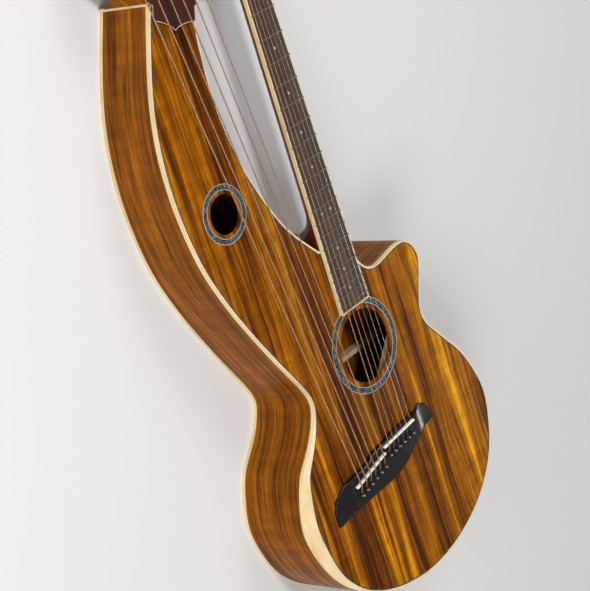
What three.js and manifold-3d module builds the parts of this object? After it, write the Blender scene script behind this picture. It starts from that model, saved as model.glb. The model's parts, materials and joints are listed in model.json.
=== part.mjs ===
// A harp guitar: six strings over a fretted neck, and six sub-bass strings carried by a hollow arm.
// Lengths are millimetres. Everything is drawn with the soundboard level: X to the treble side, Y from the
// saddle to the heads, Z out of the soundboard. The last lines lean it so that the body lies on its back.
import * as THREE from "three";
import { mergeVertices } from "three/addons/utils/BufferGeometryUtils.js";
import Module from "manifold-3d";

const wasm = await Module();
wasm.setup();

// Fits
const seatGap = 0.3;
const overrun = 4;

// Scale, neck and fretboard
const scaleLength = 645;
const semitones = 12;
const jointFret = 14;
const fretCount = 20;
const fretWidth = 2.2;
const fretHeight = 1;
const fretboardThickness = 6;
const fretboardTail = 10;
const fretboardEndWidth = 58.3;
const nutWidth = 44.5;
const nutThickness = 5;
const nutRise = 1.2;
const nutTop = seatGap + fretboardThickness + nutRise;
const neckDepth = 15;
const neckDeepening = 2;
const heelDepth = 92;
const heelLength = 62;

// Body plan
const tailLength = 214.6;
const lowerBoutWidth = 411;
const waistWidth = 254;
const waistShare = 0.411;
const hornReach = 153.5;
const shoulderMargin = 1.5;
const armReach = 240.8;
const armLength = 379;
const armEndWidth = 77;
const armLean = 20;
const outlineTolerance = 0.8;

// Body depth and walls
const bodyDepth = 115;
const bodyTaper = 2.26;
const soundboardThickness = 2.8;
const backThickness = 2.6;
const sideThickness = 2.2;
const liningWidth = 8;
const liningHeight = 12;
const liningSlope = 6;
const bindingWidth = 2.6;
const bindingHeight = 6;

// Armrest, a bevel in the binding of the bass side's lower bout
const armrestWidth = 18;
const armrestDrop = 8;
const armrestSink = 5.3;
const armrestSetback = 45;
const armrestTop = 112;
const armrestFoot = 200;

// Soundholes and their inlaid rings
const soundholeRadius = 50;
const soundholeMargin = 8;
const rosetteInner = 57.5;
const rosetteOuter = 65.7;
const armHoleRadius = 25.7;
const armRosetteInner = 31;
const armRosetteOuter = 38;
const rosetteDepth = 1.2;

// Braces and blocks
const braceWidth = 7;
const braceHeight = 14;
const crossingSetback = 85;
const braceSpread = 127;
const holeBraceReach = 95;
const shoulderBraceGap = 20;
const bridgePlateWidth = 31;
const bridgePlateHeight = 3;
const neckBlockLength = 58;
const tailBlockLength = 26;
const tailBlockWidth = 68;
const bodyBraceShares = [-0.6, -0.1];
const upperBraceShares = [0.3, 0.66];
const armBraceShares = [0.12, 0.42, 0.72];
const armSpineShares = [-0.25, -0.7, -0.74, -0.7];
const armTopBraceShares = [[0.48, -0.0985], [0.506, 0.305], [0.58, 0.6], [0.595, 0.88]];

// Bridge, saddles and pins
const bridgeSpan = 235;
const bridgeBreadth = 62;
const bridgeHeight = 9;
const bridgeEdge = 1.5;
const bridgeSlope = 3;
const saddleThickness = 3;
const saddleSlotDepth = 5;
const saddleHeight = 12.5;
const saddleLength = 71;
const saddleSkew = 5.4;
const bassSaddleLength = 72;
const bassSaddleReach = 72;
const bassSaddleSetback = 17.5;
const bassSaddleAngle = 11.8;
const pinSetback = 16.5;
const pinHeadRadius = 3.4;
const pinCrownRadius = 2.4;
const pinHeadHeight = 2.4;

// Strings, from the thinnest to the thickest
const stringSpread = 55;
const nutSpread = 37;
const bassSpread = 58.8;
const bassNutSpread = 95;
const stringRadius = 0.68;
const stringRadiusShares = [0.25, 0.32, 0.44, 0.59, 0.78, 1];
const bassStringRadius = 1.04;
const bassRadiusShares = [0.71, 0.77, 0.83, 0.88, 0.94, 1];
const windingTurns = 1.5;
const windingSteps = 14;
const windingGap = 0.55;

// Main headstock
const headAngle = 14;
const headThickness = 15;
const headLength = 150;
const headCrown = 7;
const headFlare = 24;
const postPitch = 38;
const firstPost = 38;
const postSpread = 43;

// Arm head
const armHeadLean = -6;
const armHeadThickness = 18;
const armHeadReach = 49;
const armHeadScoop = 42;
const armPlateThickness = 2.5;
const armPlateTop = seatGap + armPlateThickness;
const armPlateLap = 18;
const armPlatePoint = 12;
const bassNutHeight = 9;
const bassNutTop = armPlateTop + bassNutHeight;
const bassNutThickness = 6;
const bassNutMargin = 5;
const bassFirstPost = 42;
const bassPostPitch = 31;
const armHeadTop = 21;
const armHeadShoulder = 10;

// Open-gear tuners: a worm on the knob's shaft turns a wheel on the string post
const wheelTeeth = 14;
const wheelPitchRadius = 5.25;
const wheelThickness = 2.4;
const toothHeight = 1.2;
const wormRadius = 3.3;
const wormTurns = 2.5;
const meshGap = 0.5;
const gearDrop = 5.3;
const shaftRadius = 1.5;
const shaftGap = 0.35;
const postRadius = 3;
const postWaistRadius = 2.5;
const postGap = 0.4;
const postHeight = 15;
const postChamfer = 0.5;
const postScrewRadius = 2.4;
const postScrewRise = 1.2;
const windingHeight = 9;
const edgeDistance = 13;
const tunerPlateThickness = 1.2;
const tunerPlateWidth = 16;
const tunerPlateMargin = 13;
const earThickness = 1.6;
const shaftEnd = 0.6;
const earWidth = 6.4;
const earDepth = 8.4;
const knobGap = 2.5;
const knobLength = 13;
const knobHalfHeight = 8.5;
const knobHalfThickness = 4;
const collarRadius = 3;

// How finely curves are drawn
const ringSides = 32;
const boreSides = 8;
const shaftHoleSides = 6;
const postSides = 8;
const cordSides = 5;
const headCurveSteps = 5;
const neckSteps = 8;
const threadSteps = 8;

// Outlines as shares of the sizes that they follow, from the tail to the neck and the arm
const lowerBoutShares = [
  [0.377, -0.939], [0.676, -0.794], [0.876, -0.591], [0.978, -0.345], [1, -0.186], [0.966, -0.028],
];
const trebleWaistShares = [[1.428, 0.297], [1.211, 0.617], [1.02, 0.915], [1, 1.085]];
const hornShares = [
  [0.883, 0.529], [0.971, 0.627], [1, 0.689], [0.964, 0.752], [0.873, 0.795], [0.749, 0.804],
  [0.58, 0.787], [0.423, 0.778], [0.306, 0.801], [0.237, 0.851], [0.208, 0.912],
];
const bassWaistShares = [[1.428, 0.28], [1.225, 0.506], [1.071, 0.72], [0.996, 0.932], [1.028, 1.102]];
const armFlankShares = [[0.605, 0.55], [0.738, 0.769], [0.87, 1.013]];
const armBackShares = [[0.959, 0.184], [1, 0.408], [0.98, 0.601], [0.915, 0.767], [0.822, 0.912]];
const armFrontShares = [
  [0.224, 0.075], [0.329, 0.177], [0.389, 0.267], [0.447, 0.378], [0.482, 0.482],
  [0.502, 0.588], [0.5075, 0.68], [0.494, 0.799], [0.463, 0.92],
];
const armEndShare = 0.581;
const armHoleShares = [0.693, 0.305];
const heelShares = [0, 0.06, 0.14, 0.25, 0.4, 0.6, 0.8, 1];

// The bridge from its bass end to its treble end: place, front edge, rear edge and top
const bridgeShares = [
  [-0.647, -0.645, -0.976, 0.39], [-0.621, -0.427, -1.008, 0.39], [-0.528, -0.223, -0.932, 0.45],
  [-0.506, -0.208, -0.92, 0.56], [-0.487, -0.195, -0.907, 0.74], [-0.472, -0.185, -0.897, 1],
  [-0.298, -0.124, -0.874, 1], [-0.243, -0.011, -0.871, 1],
  [-0.102, 0.04, -0.858, 1], [-0.038, 0.097, -0.806, 1], [0.03, 0.11, -0.723, 1], [0.089, 0.116, -0.6, 1],
  [0.153, 0.116, -0.495, 1], [0.191, 0.116, -0.435, 1], [0.205, 0.12, -0.416, 0.78],
  [0.221, 0.132, -0.396, 0.61], [0.243, 0.162, -0.375, 0.49], [0.268, 0.216, -0.361, 0.43],
  [0.315, 0.121, -0.339, 0.39], [0.349, -0.113, -0.316, 0.39],
];

const fretPlace = (fret) => scaleLength / 2 ** (fret / semitones);
const neckJoint = fretPlace(jointFret);
const waistPlace = waistShare * neckJoint;
const soundholePlace = fretPlace(fretCount) - fretboardTail - soundholeMargin - soundholeRadius;
const stringRadii = stringRadiusShares.map((share) => share * stringRadius);
const bassStringRadii = bassRadiusShares.map((share) => share * bassStringRadius);
const radians = THREE.MathUtils.degToRad;
const taperSlope = Math.tan(radians(bodyTaper));
const backSurface = (y) => taperSlope * y - bodyDepth;
const boardHalfWidth = (y) =>
  THREE.MathUtils.mapLinear(y, scaleLength, fretPlace(fretCount), nutWidth, fretboardEndWidth) / 2;
const onBack = (y) => backSurface(y) + backThickness + seatGap;
const underTop = -soundboardThickness - seatGap;
const at = (x, y) => new THREE.Vector2(x, y);

// Solids

function meshFrom(vertices, triangles) {
  const cone = ([a, b, c]) => vertices[a].dot(vertices[b].clone().cross(vertices[c]));
  const volume = triangles.reduce((sum, triangle) => sum + cone(triangle), 0);
  const faces = volume < 0 ? triangles.map(([a, b, c]) => [a, c, b]) : triangles;
  const geometry = new THREE.BufferGeometry().setFromPoints(vertices);
  return geometry.setIndex(faces.flat());
}

function solid(geometry) {
  const bare = geometry.clone();
  bare.deleteAttribute("normal");
  bare.deleteAttribute("uv");
  const merged = mergeVertices(bare);
  const vertProperties = merged.attributes.position.array;
  const triVerts = new Uint32Array(merged.index.array);
  return new wasm.Manifold(new wasm.Mesh({ numProp: 3, vertProperties, triVerts }));
}

function geometryOf(body) {
  const mesh = body.getMesh();
  const geometry = new THREE.BufferGeometry();
  geometry.setAttribute("position", new THREE.BufferAttribute(mesh.vertProperties, 3));
  return geometry.setIndex(new THREE.BufferAttribute(mesh.triVerts, 1));
}

function joined(first, ...others) {
  return geometryOf(others.reduce((all, other) => all.add(solid(other)), solid(first)));
}

function cutBy(first, ...others) {
  return geometryOf(others.reduce((all, other) => all.subtract(solid(other)), solid(first)));
}

function common(first, second) {
  return geometryOf(solid(first).intersect(solid(second)));
}

// Sections of equal counts joined into one skin, closed on itself or capped at both ends
function loft(sections, closed) {
  const around = sections[0].length;
  const triangles = [];
  const spans = closed ? sections.length : sections.length - 1;
  for (let i = 0; i < spans; i++) {
    const here = i * around;
    const next = ((i + 1) % sections.length) * around;
    for (let k = 0; k < around; k++) {
      const n = (k + 1) % around;
      triangles.push([here + k, here + n, next + n], [here + k, next + n, next + k]);
    }
  }
  const last = (sections.length - 1) * around;
  for (let k = 1; k < around - 1 && !closed; k++) {
    triangles.push([0, k + 1, k], [last, last + k, last + k + 1]);
  }
  return meshFrom(sections.flat(), triangles);
}

function prism(points, low, high, holes = []) {
  const shape = new THREE.Shape(points);
  shape.holes = holes.map((hole) => new THREE.Path(hole));
  const geometry = new THREE.ExtrudeGeometry(shape, { depth: high - low, bevelEnabled: false });
  return geometry.translate(0, 0, low);
}

// A plan raised between two surfaces that slope along Y
function between(points, lowAt, highAt, holes = []) {
  const geometry = prism(points, 0, 1, holes);
  const place = geometry.attributes.position;
  for (let i = 0; i < place.count; i++) {
    const y = place.getY(i);
    place.setZ(i, THREE.MathUtils.lerp(lowAt(y), highAt(y), place.getZ(i)));
  }
  return geometry;
}

function circle(x, y, radius, sides) {
  const turn = (2 * Math.PI) / sides;
  const corner = (i) => at(x + radius * Math.cos(i * turn), y + radius * Math.sin(i * turn));
  return Array.from({ length: sides }, (_, i) => corner(i));
}

function bar(from, to, width, low, high) {
  const run = to.clone().sub(from);
  const box = new THREE.BoxGeometry(run.length() + width, width, high - low);
  const middle = from.clone().add(to).divideScalar(2);
  return box.rotateZ(run.angle()).translate(middle.x, middle.y, (low + high) / 2);
}

function turned(profile, sides) {
  const points = profile.map(([radius, height]) => at(radius, height));
  return new THREE.LatheGeometry(points, sides).rotateX(Math.PI / 2);
}

function rod(radius, length, sides) {
  return new THREE.CylinderGeometry(radius, radius, length, sides);
}

const raised = (p, z) => new THREE.Vector3(p.x, p.y, z);

// The body's outline, run anticlockwise, thinned to the points that its curves need

function spline(points) {
  const places = points.map((p) => raised(p, 0));
  const curve = new THREE.CatmullRomCurve3(places, false, "centripetal");
  return thinned(curve.getPoints(points.length * ringSides).map((p) => at(p.x, p.y)));
}

function thinned(points) {
  const first = points[0];
  const last = points[points.length - 1];
  const chord = last.clone().sub(first).normalize();
  const strays = points.map((p) => Math.abs(p.clone().sub(first).cross(chord)));
  const worst = strays.indexOf(Math.max(...strays));
  if (strays[worst] < outlineTolerance) return [first, last];
  return [...thinned(points.slice(0, worst + 1)).slice(0, -1), ...thinned(points.slice(worst))];
}

const armDirection = at(Math.sin(radians(armLean)), Math.cos(radians(armLean)));
const armAcross = at(armDirection.y, -armDirection.x);
const armEnd = at(-armEndShare * armReach, neckJoint + armLength);
const armEndBass = armEnd.clone().addScaledVector(armAcross, -armEndWidth / 2);
const armEndTreble = armEnd.clone().addScaledVector(armAcross, armEndWidth / 2);
const neckCorner = at(boardHalfWidth(neckJoint) + shoulderMargin, neckJoint);
const armHole = at(-armHoleShares[0] * armReach, neckJoint + armHoleShares[1] * armLength);

function bodyOutline() {
  const placed = (shares, width, height) => shares.map(([x, y]) => at(x * width, y * height));
  const onArm = (shares) => shares.map(([x, y]) => at(-x * armReach, neckJoint + y * armLength));
  const lower = placed(lowerBoutShares, lowerBoutWidth / 2, tailLength);
  const treble = [
    ...lower,
    ...placed(trebleWaistShares, waistWidth / 2, waistPlace),
    ...placed(hornShares, hornReach, neckJoint),
    neckCorner,
  ];
  const bass = [
    ...placed(lowerBoutShares, -lowerBoutWidth / 2, tailLength),
    ...placed(bassWaistShares, -waistWidth / 2, waistPlace),
    ...placed(armFlankShares, -armReach, neckJoint),
    ...onArm(armBackShares),
    armEndBass,
  ];
  const flank = spline([...bass.reverse(), at(0, -tailLength), ...treble]);
  const inner = spline([at(-neckCorner.x, neckCorner.y), ...onArm(armFrontShares), armEndTreble]);
  return [...flank, ...inner];
}

// Moves each point of a closed outline inwards by its own distance
function inset(points, distanceAt) {
  const count = points.length;
  return points.map((p, i) => {
    const into = p.clone().sub(points[(i + count - 1) % count]).normalize();
    const out = points[(i + 1) % count].clone().sub(p).normalize();
    const inward = at(-into.y - out.y, into.x + out.x).normalize();
    const mitre = inward.x * -into.y + inward.y * into.x;
    return p.clone().addScaledVector(inward, distanceAt(p) / mitre);
  });
}

const outline = bodyOutline();

// How far the armrest's bevel has grown at a point of the outline, from 0 to 1
function armrestShare(p) {
  const end = p.y > -armrestSetback ? armrestTop : -armrestFoot;
  const way = (p.y + armrestSetback) / (end + armrestSetback);
  return p.x < 0 && way < 1 ? (1 + Math.cos(Math.PI * way)) / 2 : 0;
}

const topBindingWidth = (p) => bindingWidth + (armrestWidth - bindingWidth) * armrestShare(p);
const topBindingHeight = (p) => bindingHeight + armrestSink * armrestShare(p);
const cavityPlan = inset(outline, (p) => topBindingWidth(p) + liningWidth - bindingWidth + seatGap);

// Each outline point's section, from named insets and heights
function hoop(sectionAt) {
  return loft(outline.map((p, i) => sectionAt(p, i)), true);
}

function rim() {
  const rebate = inset(outline, (p) => topBindingWidth(p) + seatGap);
  const topLining = inset(outline, (p) => topBindingWidth(p) + liningWidth - bindingWidth);
  const wall = inset(outline, () => sideThickness);
  const backRebate = inset(outline, () => bindingWidth + seatGap);
  const backLining = inset(outline, () => liningWidth);
  return hoop((p, i) => {
    const ledge = -topBindingHeight(p) - seatGap;
    const foot = backSurface(p.y) + bindingHeight + seatGap;
    return [
      raised(p, foot),
      raised(p, ledge),
      raised(rebate[i], ledge),
      raised(rebate[i], underTop),
      raised(topLining[i], underTop),
      raised(topLining[i], underTop - liningHeight),
      raised(wall[i], underTop - liningHeight - liningSlope),
      raised(wall[i], onBack(p.y) + liningHeight + liningSlope),
      raised(backLining[i], onBack(backLining[i].y) + liningHeight),
      raised(backLining[i], onBack(backLining[i].y)),
      raised(backRebate[i], onBack(backRebate[i].y)),
      raised(backRebate[i], backSurface(backRebate[i].y) + bindingHeight + seatGap),
    ];
  });
}

function topBinding() {
  const inner = inset(outline, topBindingWidth);
  return hoop((p, i) => [
    raised(p, -topBindingHeight(p)),
    raised(p, -armrestDrop * armrestShare(p)),
    raised(inner[i], 0),
    raised(inner[i], -topBindingHeight(p)),
  ]);
}

function backBinding() {
  const inner = inset(outline, () => bindingWidth);
  return hoop((p, i) => [
    raised(p, backSurface(p.y)),
    raised(p, backSurface(p.y) + bindingHeight),
    raised(inner[i], backSurface(inner[i].y) + bindingHeight),
    raised(inner[i], backSurface(inner[i].y)),
  ]);
}

function ring(centre, inner, outer, low, high) {
  const hole = circle(centre.x, centre.y, inner, ringSides);
  return prism(circle(centre.x, centre.y, outer, ringSides), low, high, [hole]);
}

const mainHole = at(0, soundholePlace);

function soundboard() {
  const plan = inset(outline, (p) => topBindingWidth(p) + seatGap);
  const board = prism(plan, -soundboardThickness, 0, [
    circle(mainHole.x, mainHole.y, soundholeRadius, ringSides),
    circle(armHole.x, armHole.y, armHoleRadius, ringSides),
  ]);
  const channel = (centre, inner, outer) =>
    ring(centre, inner - seatGap, outer + seatGap, -rosetteDepth - seatGap, overrun);
  return cutBy(
    board,
    channel(mainHole, rosetteInner, rosetteOuter),
    channel(armHole, armRosetteInner, armRosetteOuter),
  );
}

function back() {
  const plan = inset(outline, () => bindingWidth + seatGap);
  return between(plan, backSurface, (y) => backSurface(y) + backThickness);
}

// Braces and blocks, trimmed to the room inside the linings

const cavity = between(cavityPlan, onBack, () => underTop);
const plan = (...places) => places.map(([x, y]) => at(x, y));

function chain(points, width, low, high) {
  return points.slice(1).map((p, i) => bar(points[i], p, width, low, high));
}

function topBracing() {
  const low = underTop - braceHeight;
  const reach = lowerBoutWidth / 2;
  const braceCrossing = soundholePlace - crossingSetback;
  const shoulderPlace = neckJoint - neckBlockLength - liningWidth - shoulderBraceGap;
  const side = braceCrossing + holeBraceReach;
  const cross = (sign) =>
    plan([-sign * reach, braceCrossing - reach], [sign * braceSpread, braceCrossing + braceSpread]);
  const armWay = armTopBraceShares.map(([x, y]) => at(-x * armReach, neckJoint + y * armLength));
  const ways = [
    cross(1),
    cross(-1),
    plan([-braceSpread, shoulderPlace], [braceSpread, shoulderPlace]),
    plan([-holeBraceReach, side], [-holeBraceReach, shoulderPlace]),
    [at(-holeBraceReach, side), ...armWay],
  ];
  const bridgeWay = plan([-bridgeSpan / 2, -bassSaddleSetback], [bridgeSpan / 4, -bassSaddleSetback]);
  const bars = ways.flatMap((way) => chain(way, braceWidth, low, underTop));
  const plate = chain(bridgeWay, bridgePlateWidth, underTop - bridgePlateHeight, underTop);
  return common(joined(...bars, ...plate), cavity);
}

function backBracing() {
  const places = [
    ...bodyBraceShares.map((share) => share * tailLength),
    ...upperBraceShares.map((share) => share * neckJoint),
  ];
  const armPlaces = armBraceShares.map((share) => neckJoint + share * armLength);
  const spine = plan([0, places[0] - braceHeight], [0, places[3]]);
  const armSpine = [places[3], ...armPlaces].map((y, i) => at(armSpineShares[i] * armReach, y));
  const ways = [
    ...places.map((y) => plan([-armReach, y], [armReach, y])),
    ...armPlaces.map((y) => plan([-armReach, y], [0, y])),
  ];
  const bars = [
    ...ways.flatMap((way) => chain(way, braceWidth, -bodyDepth, 0)),
    ...chain(spine, 2 * braceWidth, -bodyDepth, 0),
    ...chain(armSpine, 2 * braceWidth, -bodyDepth, 0),
  ];
  const layer = between(cavityPlan, onBack, (y) => onBack(y) + braceHeight);
  return common(joined(...bars), layer);
}

function block(points) {
  return common(between(points, backSurface, () => 0), cavity);
}

function neckBlock() {
  const foot = neckJoint - neckBlockLength - liningWidth;
  const reach = neckCorner.x + liningWidth;
  return block(plan([-reach, foot], [reach, foot], [reach, neckJoint], [-reach, neckJoint]));
}

function tailBlock() {
  const half = tailBlockWidth / 2;
  const top = -tailLength + liningWidth + tailBlockLength;
  return block(plan([-half, -tailLength], [half, -tailLength], [half, top], [-half, top]));
}

// Neck, fretboard and nuts

function fretboard() {
  const top = fretboardThickness + seatGap;
  const end = fretPlace(fretCount) - fretboardTail;
  const profile = [at(scaleLength, top), at(scaleLength, seatGap), at(end, seatGap), at(end, top)];
  for (let fret = fretCount; fret > 0; fret--) {
    const y = fretPlace(fret);
    profile.push(at(y - fretWidth / 2, top));
    profile.push(at(y - fretWidth / 4, top + fretHeight));
    profile.push(at(y + fretWidth / 4, top + fretHeight));
    profile.push(at(y + fretWidth / 2, top));
  }
  const slab = prism(profile, -fretboardEndWidth, fretboardEndWidth);
  slab.rotateX(Math.PI / 2).rotateZ(Math.PI / 2);
  const headEnd = boardHalfWidth(scaleLength);
  const bodyEnd = boardHalfWidth(end);
  const shape = plan([-bodyEnd, end], [bodyEnd, end], [headEnd, scaleLength], [-headEnd, scaleLength]);
  return common(slab, prism(shape, -overrun, top + overrun));
}

const headStart = scaleLength + nutThickness + 2 * seatGap;
const headFrame = new THREE.Matrix4().makeRotationX(-radians(headAngle)).setPosition(0, headStart, 0);

function headPlan() {
  const half = postSpread / 2 + edgeDistance;
  const start = nutWidth / 2;
  const path = new THREE.Path().moveTo(start, 0);
  path.bezierCurveTo(start + headCrown, headFlare / 2, half, headFlare / 2, half, headFlare);
  path.lineTo(half, headLength - headFlare / 2);
  path.quadraticCurveTo(half - headCrown, headLength, 0, headLength + headCrown);
  const side = path.getPoints(headCurveSteps);
  const mirrored = side.slice(0, -1).reverse().map((p) => at(-p.x, p.y));
  return [...side, ...mirrored];
}

function neckSection(y, top, depth) {
  const half = boardHalfWidth(Math.min(y, scaleLength));
  return Array.from({ length: neckSteps + 1 }, (_, i) => {
    const angle = (Math.PI * i) / neckSteps;
    return new THREE.Vector3(-half * Math.cos(angle), y, top - depth * Math.sin(angle));
  });
}

function neck() {
  const start = neckJoint + seatGap;
  const depthAt = (y) =>
    THREE.MathUtils.mapLinear(y, scaleLength, start, neckDepth, neckDepth + neckDeepening);
  const heel = heelShares.map((share) => {
    const y = start + share * heelLength;
    return neckSection(y, 0, depthAt(y) + (heelDepth - depthAt(y)) * (1 - share) ** 3);
  });
  const drop = headFlare * Math.tan(radians(headAngle));
  const shaft = [
    neckSection(headStart, 0, neckDepth),
    neckSection(headStart + headFlare, -drop - seatGap, neckDepth - seatGap),
  ];
  const board = prism(headPlan(), -headThickness, 0).applyMatrix4(headFrame);
  const bores = mainPosts.map((post) => bore(post, headThickness));
  return cutBy(joined(loft([...heel, ...shaft], false), board), ...bores);
}

function nut() {
  const foot = scaleLength + seatGap;
  const half = nutWidth / 2;
  const head = foot + nutThickness;
  return prism(plan([-half, foot], [half, foot], [half, head], [-half, head]), seatGap, nutTop);
}

// The arm's head: its own frame starts at the bass nut and runs along the sub-bass strings

const centre = at(0, 0);
const headTurn = -radians(armHeadLean);
const bassNutPlace = armEnd.clone().add(at(0, armHeadReach).rotateAround(centre, headTurn));
const armHeadFrame = new THREE.Matrix4().makeRotationZ(headTurn);
armHeadFrame.setPosition(bassNutPlace.x, bassNutPlace.y, 0);
const inArmHead = (p) => p.clone().sub(bassNutPlace).rotateAround(centre, -headTurn);
const fromArmHead = (p) => p.clone().rotateAround(centre, headTurn).add(bassNutPlace);

function armHeadPlan() {
  const row = bassRow.clone().normalize();
  const outward = at(-row.y, row.x);
  const corner = (k, along) => {
    const post = bassPostPlace(k);
    return at(-post.x, post.y).addScaledVector(outward, edgeDistance).addScaledVector(row, along);
  };
  const low = corner(0, -armHeadShoulder);
  const high = corner(2, edgeDistance / 2);
  const root = inArmHead(armEndBass.clone().addScaledVector(armDirection, seatGap));
  const farRoot = inArmHead(armEndTreble.clone().addScaledVector(armDirection, seatGap));
  const flare = armHeadReach / 2;
  const path = new THREE.Path().moveTo(root.x, root.y);
  path.bezierCurveTo(root.x - flare / 3, root.y + flare, low.x - flare / 3, low.y - flare, low.x, low.y);
  path.lineTo(high.x, high.y);
  path.quadraticCurveTo(high.x / 2, high.y + armHeadTop / 2, 0, high.y + armHeadTop);
  path.quadraticCurveTo(-high.x / 2, high.y + armHeadTop / 2, -high.x, high.y);
  path.lineTo(-low.x, low.y);
  path.bezierCurveTo(
    -low.x + flare / 3, low.y - flare, farRoot.x + flare, farRoot.y + flare, farRoot.x, farRoot.y,
  );
  return path.getPoints(headCurveSteps).map(fromArmHead);
}

// Turns a plan whose Y runs along the arm, measured from the arm's end
function alongArm(across, along) {
  return armEnd.clone().addScaledVector(armAcross, across).addScaledVector(armDirection, along);
}

function armHead() {
  const head = prism(armHeadPlan(), -bodyDepth, 0);
  const depth = -backSurface(armEnd.y);
  const scoop = new THREE.Shape().moveTo(0, 0).lineTo(0, -depth);
  scoop.bezierCurveTo(
    armHeadScoop / 4, -depth / 2, armHeadScoop / 2, -armHeadThickness, armHeadScoop, -armHeadThickness,
  );
  scoop.lineTo(armLength, -armHeadThickness);
  scoop.lineTo(armLength, 0);
  const options = { depth: armLength, bevelEnabled: false, curveSegments: headCurveSteps };
  const side = new THREE.ExtrudeGeometry(scoop, options);
  side.translate(0, 0, -armLength / 2).rotateX(Math.PI / 2).rotateZ(Math.PI / 2 - radians(armLean));
  side.translate(armEnd.x, armEnd.y, 0);
  const bores = bassPosts.map((post) => bore(post, armHeadThickness));
  return cutBy(common(head, side), ...bores);
}

// The dark plate on the arm's head laps onto the soundboard and ends in a pointed bow
function armPlate() {
  const edge = bindingWidth + seatGap;
  const half = armEndWidth / 2 - edge;
  const path = new THREE.Path().moveTo(half, -armPlateLap);
  path.quadraticCurveTo(half / 4, -armPlateLap - armPlatePoint / 4, 0, -armPlateLap - armPlatePoint);
  path.quadraticCurveTo(-half / 4, -armPlateLap - armPlatePoint / 4, -half, -armPlateLap);
  const bow = path.getPoints(headCurveSteps).map((p) => alongArm(p.x, p.y));
  const lap = prism([...bow, alongArm(-half, edge), alongArm(half, edge)], seatGap, armPlateTop);
  const bores = bassPosts.map((post) => bore(post, armHeadThickness));
  return cutBy(joined(prism(armHeadPlan(), seatGap, armPlateTop), lap), ...bores);
}

function bassNut() {
  const half = bassNutSpread / 2 + bassNutMargin;
  const reach = bassNutThickness / 2;
  const corners = plan([-half, -reach], [half, -reach], [half, reach], [-half, reach]).map(fromArmHead);
  return prism(corners, armPlateTop + seatGap, bassNutTop);
}

// Bridge and saddles

function bridgeTop() {
  const sections = bridgeShares.map(([place, front, rear, height]) => {
    const x = place * bridgeSpan;
    const top = height * bridgeHeight;
    const fore = front * bridgeBreadth;
    const aft = rear * bridgeBreadth;
    return [
      [aft, seatGap], [fore, seatGap], [fore, top - bridgeEdge],
      [fore - bridgeEdge, top], [aft + bridgeSlope, top], [aft, top - bridgeEdge],
    ].map(([y, z]) => new THREE.Vector3(x, y, z));
  });
  return loft(sections, false);
}

const mainSaddle = {
  middle: centre,
  length: saddleLength,
  angle: Math.atan2(saddleSkew, saddleLength),
};
const bassSaddle = {
  middle: at(-bassSaddleReach, -bassSaddleSetback),
  length: bassSaddleLength,
  angle: radians(bassSaddleAngle),
};
const saddlePlace = (which, along) => at(along, 0).rotateAround(centre, which.angle).add(which.middle);
const pinPlace = (which, along) => saddlePlace(which, along).add(at(0, -pinSetback));
const saddleSlotFloor = bridgeHeight - saddleSlotDepth;

function saddleBar(which, gap, low, high) {
  const box = new THREE.BoxGeometry(which.length + 2 * gap, saddleThickness + 2 * gap, high - low);
  return box.rotateZ(which.angle).translate(which.middle.x, which.middle.y, (low + high) / 2);
}

function saddle(which) {
  return saddleBar(which, 0, saddleSlotFloor + seatGap, saddleHeight);
}

function bridge() {
  const slots = [mainSaddle, bassSaddle].map((which) =>
    saddleBar(which, seatGap, saddleSlotFloor, bridgeHeight + overrun),
  );
  const head = (along, which) => {
    const p = pinPlace(which, along);
    const height = pinHeadHeight + bridgeEdge;
    const pin = new THREE.CylinderGeometry(pinCrownRadius, pinHeadRadius, height, postSides);
    return pin.rotateX(Math.PI / 2).translate(p.x, p.y, bridgeHeight + pinHeadHeight - height / 2);
  };
  const pins = [
    ...spaced(stringSpread).map((along) => head(along, mainSaddle)),
    ...spaced(bassSpread).map((along) => head(along, bassSaddle)),
  ];
  return joined(cutBy(bridgeTop(), ...slots), ...pins);
}

// Six places over a spread, from the treble side
function spaced(spread) {
  const steps = stringRadii.length - 1;
  return stringRadii.map((_, i) => spread / 2 - (spread * i) / steps);
}

// Tuners. Each is drawn about its post, from the head's back face, with its knob out along X.

const bassNutStep = bassNutSpread / (bassStringRadii.length - 1);
const bassRow = at(bassNutStep, bassPostPitch);

// The post of string `index`: three up the treble side, then three down the bass side
function tunerPost(headSpace, index, placeAt, lean) {
  const side = index < 3 ? 1 : -1;
  const place = placeAt(index < 3 ? index : 5 - index);
  const turn = side > 0 ? -lean : Math.PI + lean;
  const frame = new THREE.Matrix4().makeRotationZ(turn).setPosition(side * place.x, place.y, 0);
  return { frame: headSpace.clone().multiply(frame), x: side * place.x, y: place.y, side };
}

function mainPostPlace(k) {
  return at(postSpread / 2, firstPost + k * postPitch);
}

function bassPostPlace(k) {
  const clear = postRadius + seatGap + bassStringRadii[5 - k];
  return at(bassNutSpread / 2 - k * bassNutStep + clear, bassFirstPost + k * bassPostPitch);
}

const bassLean = bassRow.angle() - Math.PI / 2;
const mainPosts = stringRadii.map((_, i) => tunerPost(headFrame, i, mainPostPlace, 0));
const bassPosts = bassStringRadii.map((_, i) => tunerPost(armHeadFrame, i, bassPostPlace, bassLean));

function bore(post, thickness) {
  const length = thickness + armPlateTop + 2 * overrun;
  const drill = rod(postRadius + postGap, length, boreSides).rotateX(Math.PI / 2);
  return drill.translate(0, 0, armPlateTop + overrun - length / 2).applyMatrix4(post.frame);
}

const gearDistance = wheelPitchRadius + wormRadius - toothHeight / 2;
const wormPitch = (2 * Math.PI * wheelPitchRadius) / wheelTeeth;
const wormHalfLength = (wormPitch * (wormTurns + 1)) / 2;
const wheelTwist = wormPitch / (2 * Math.PI * (wormRadius - toothHeight / 2) * wheelPitchRadius);

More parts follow.
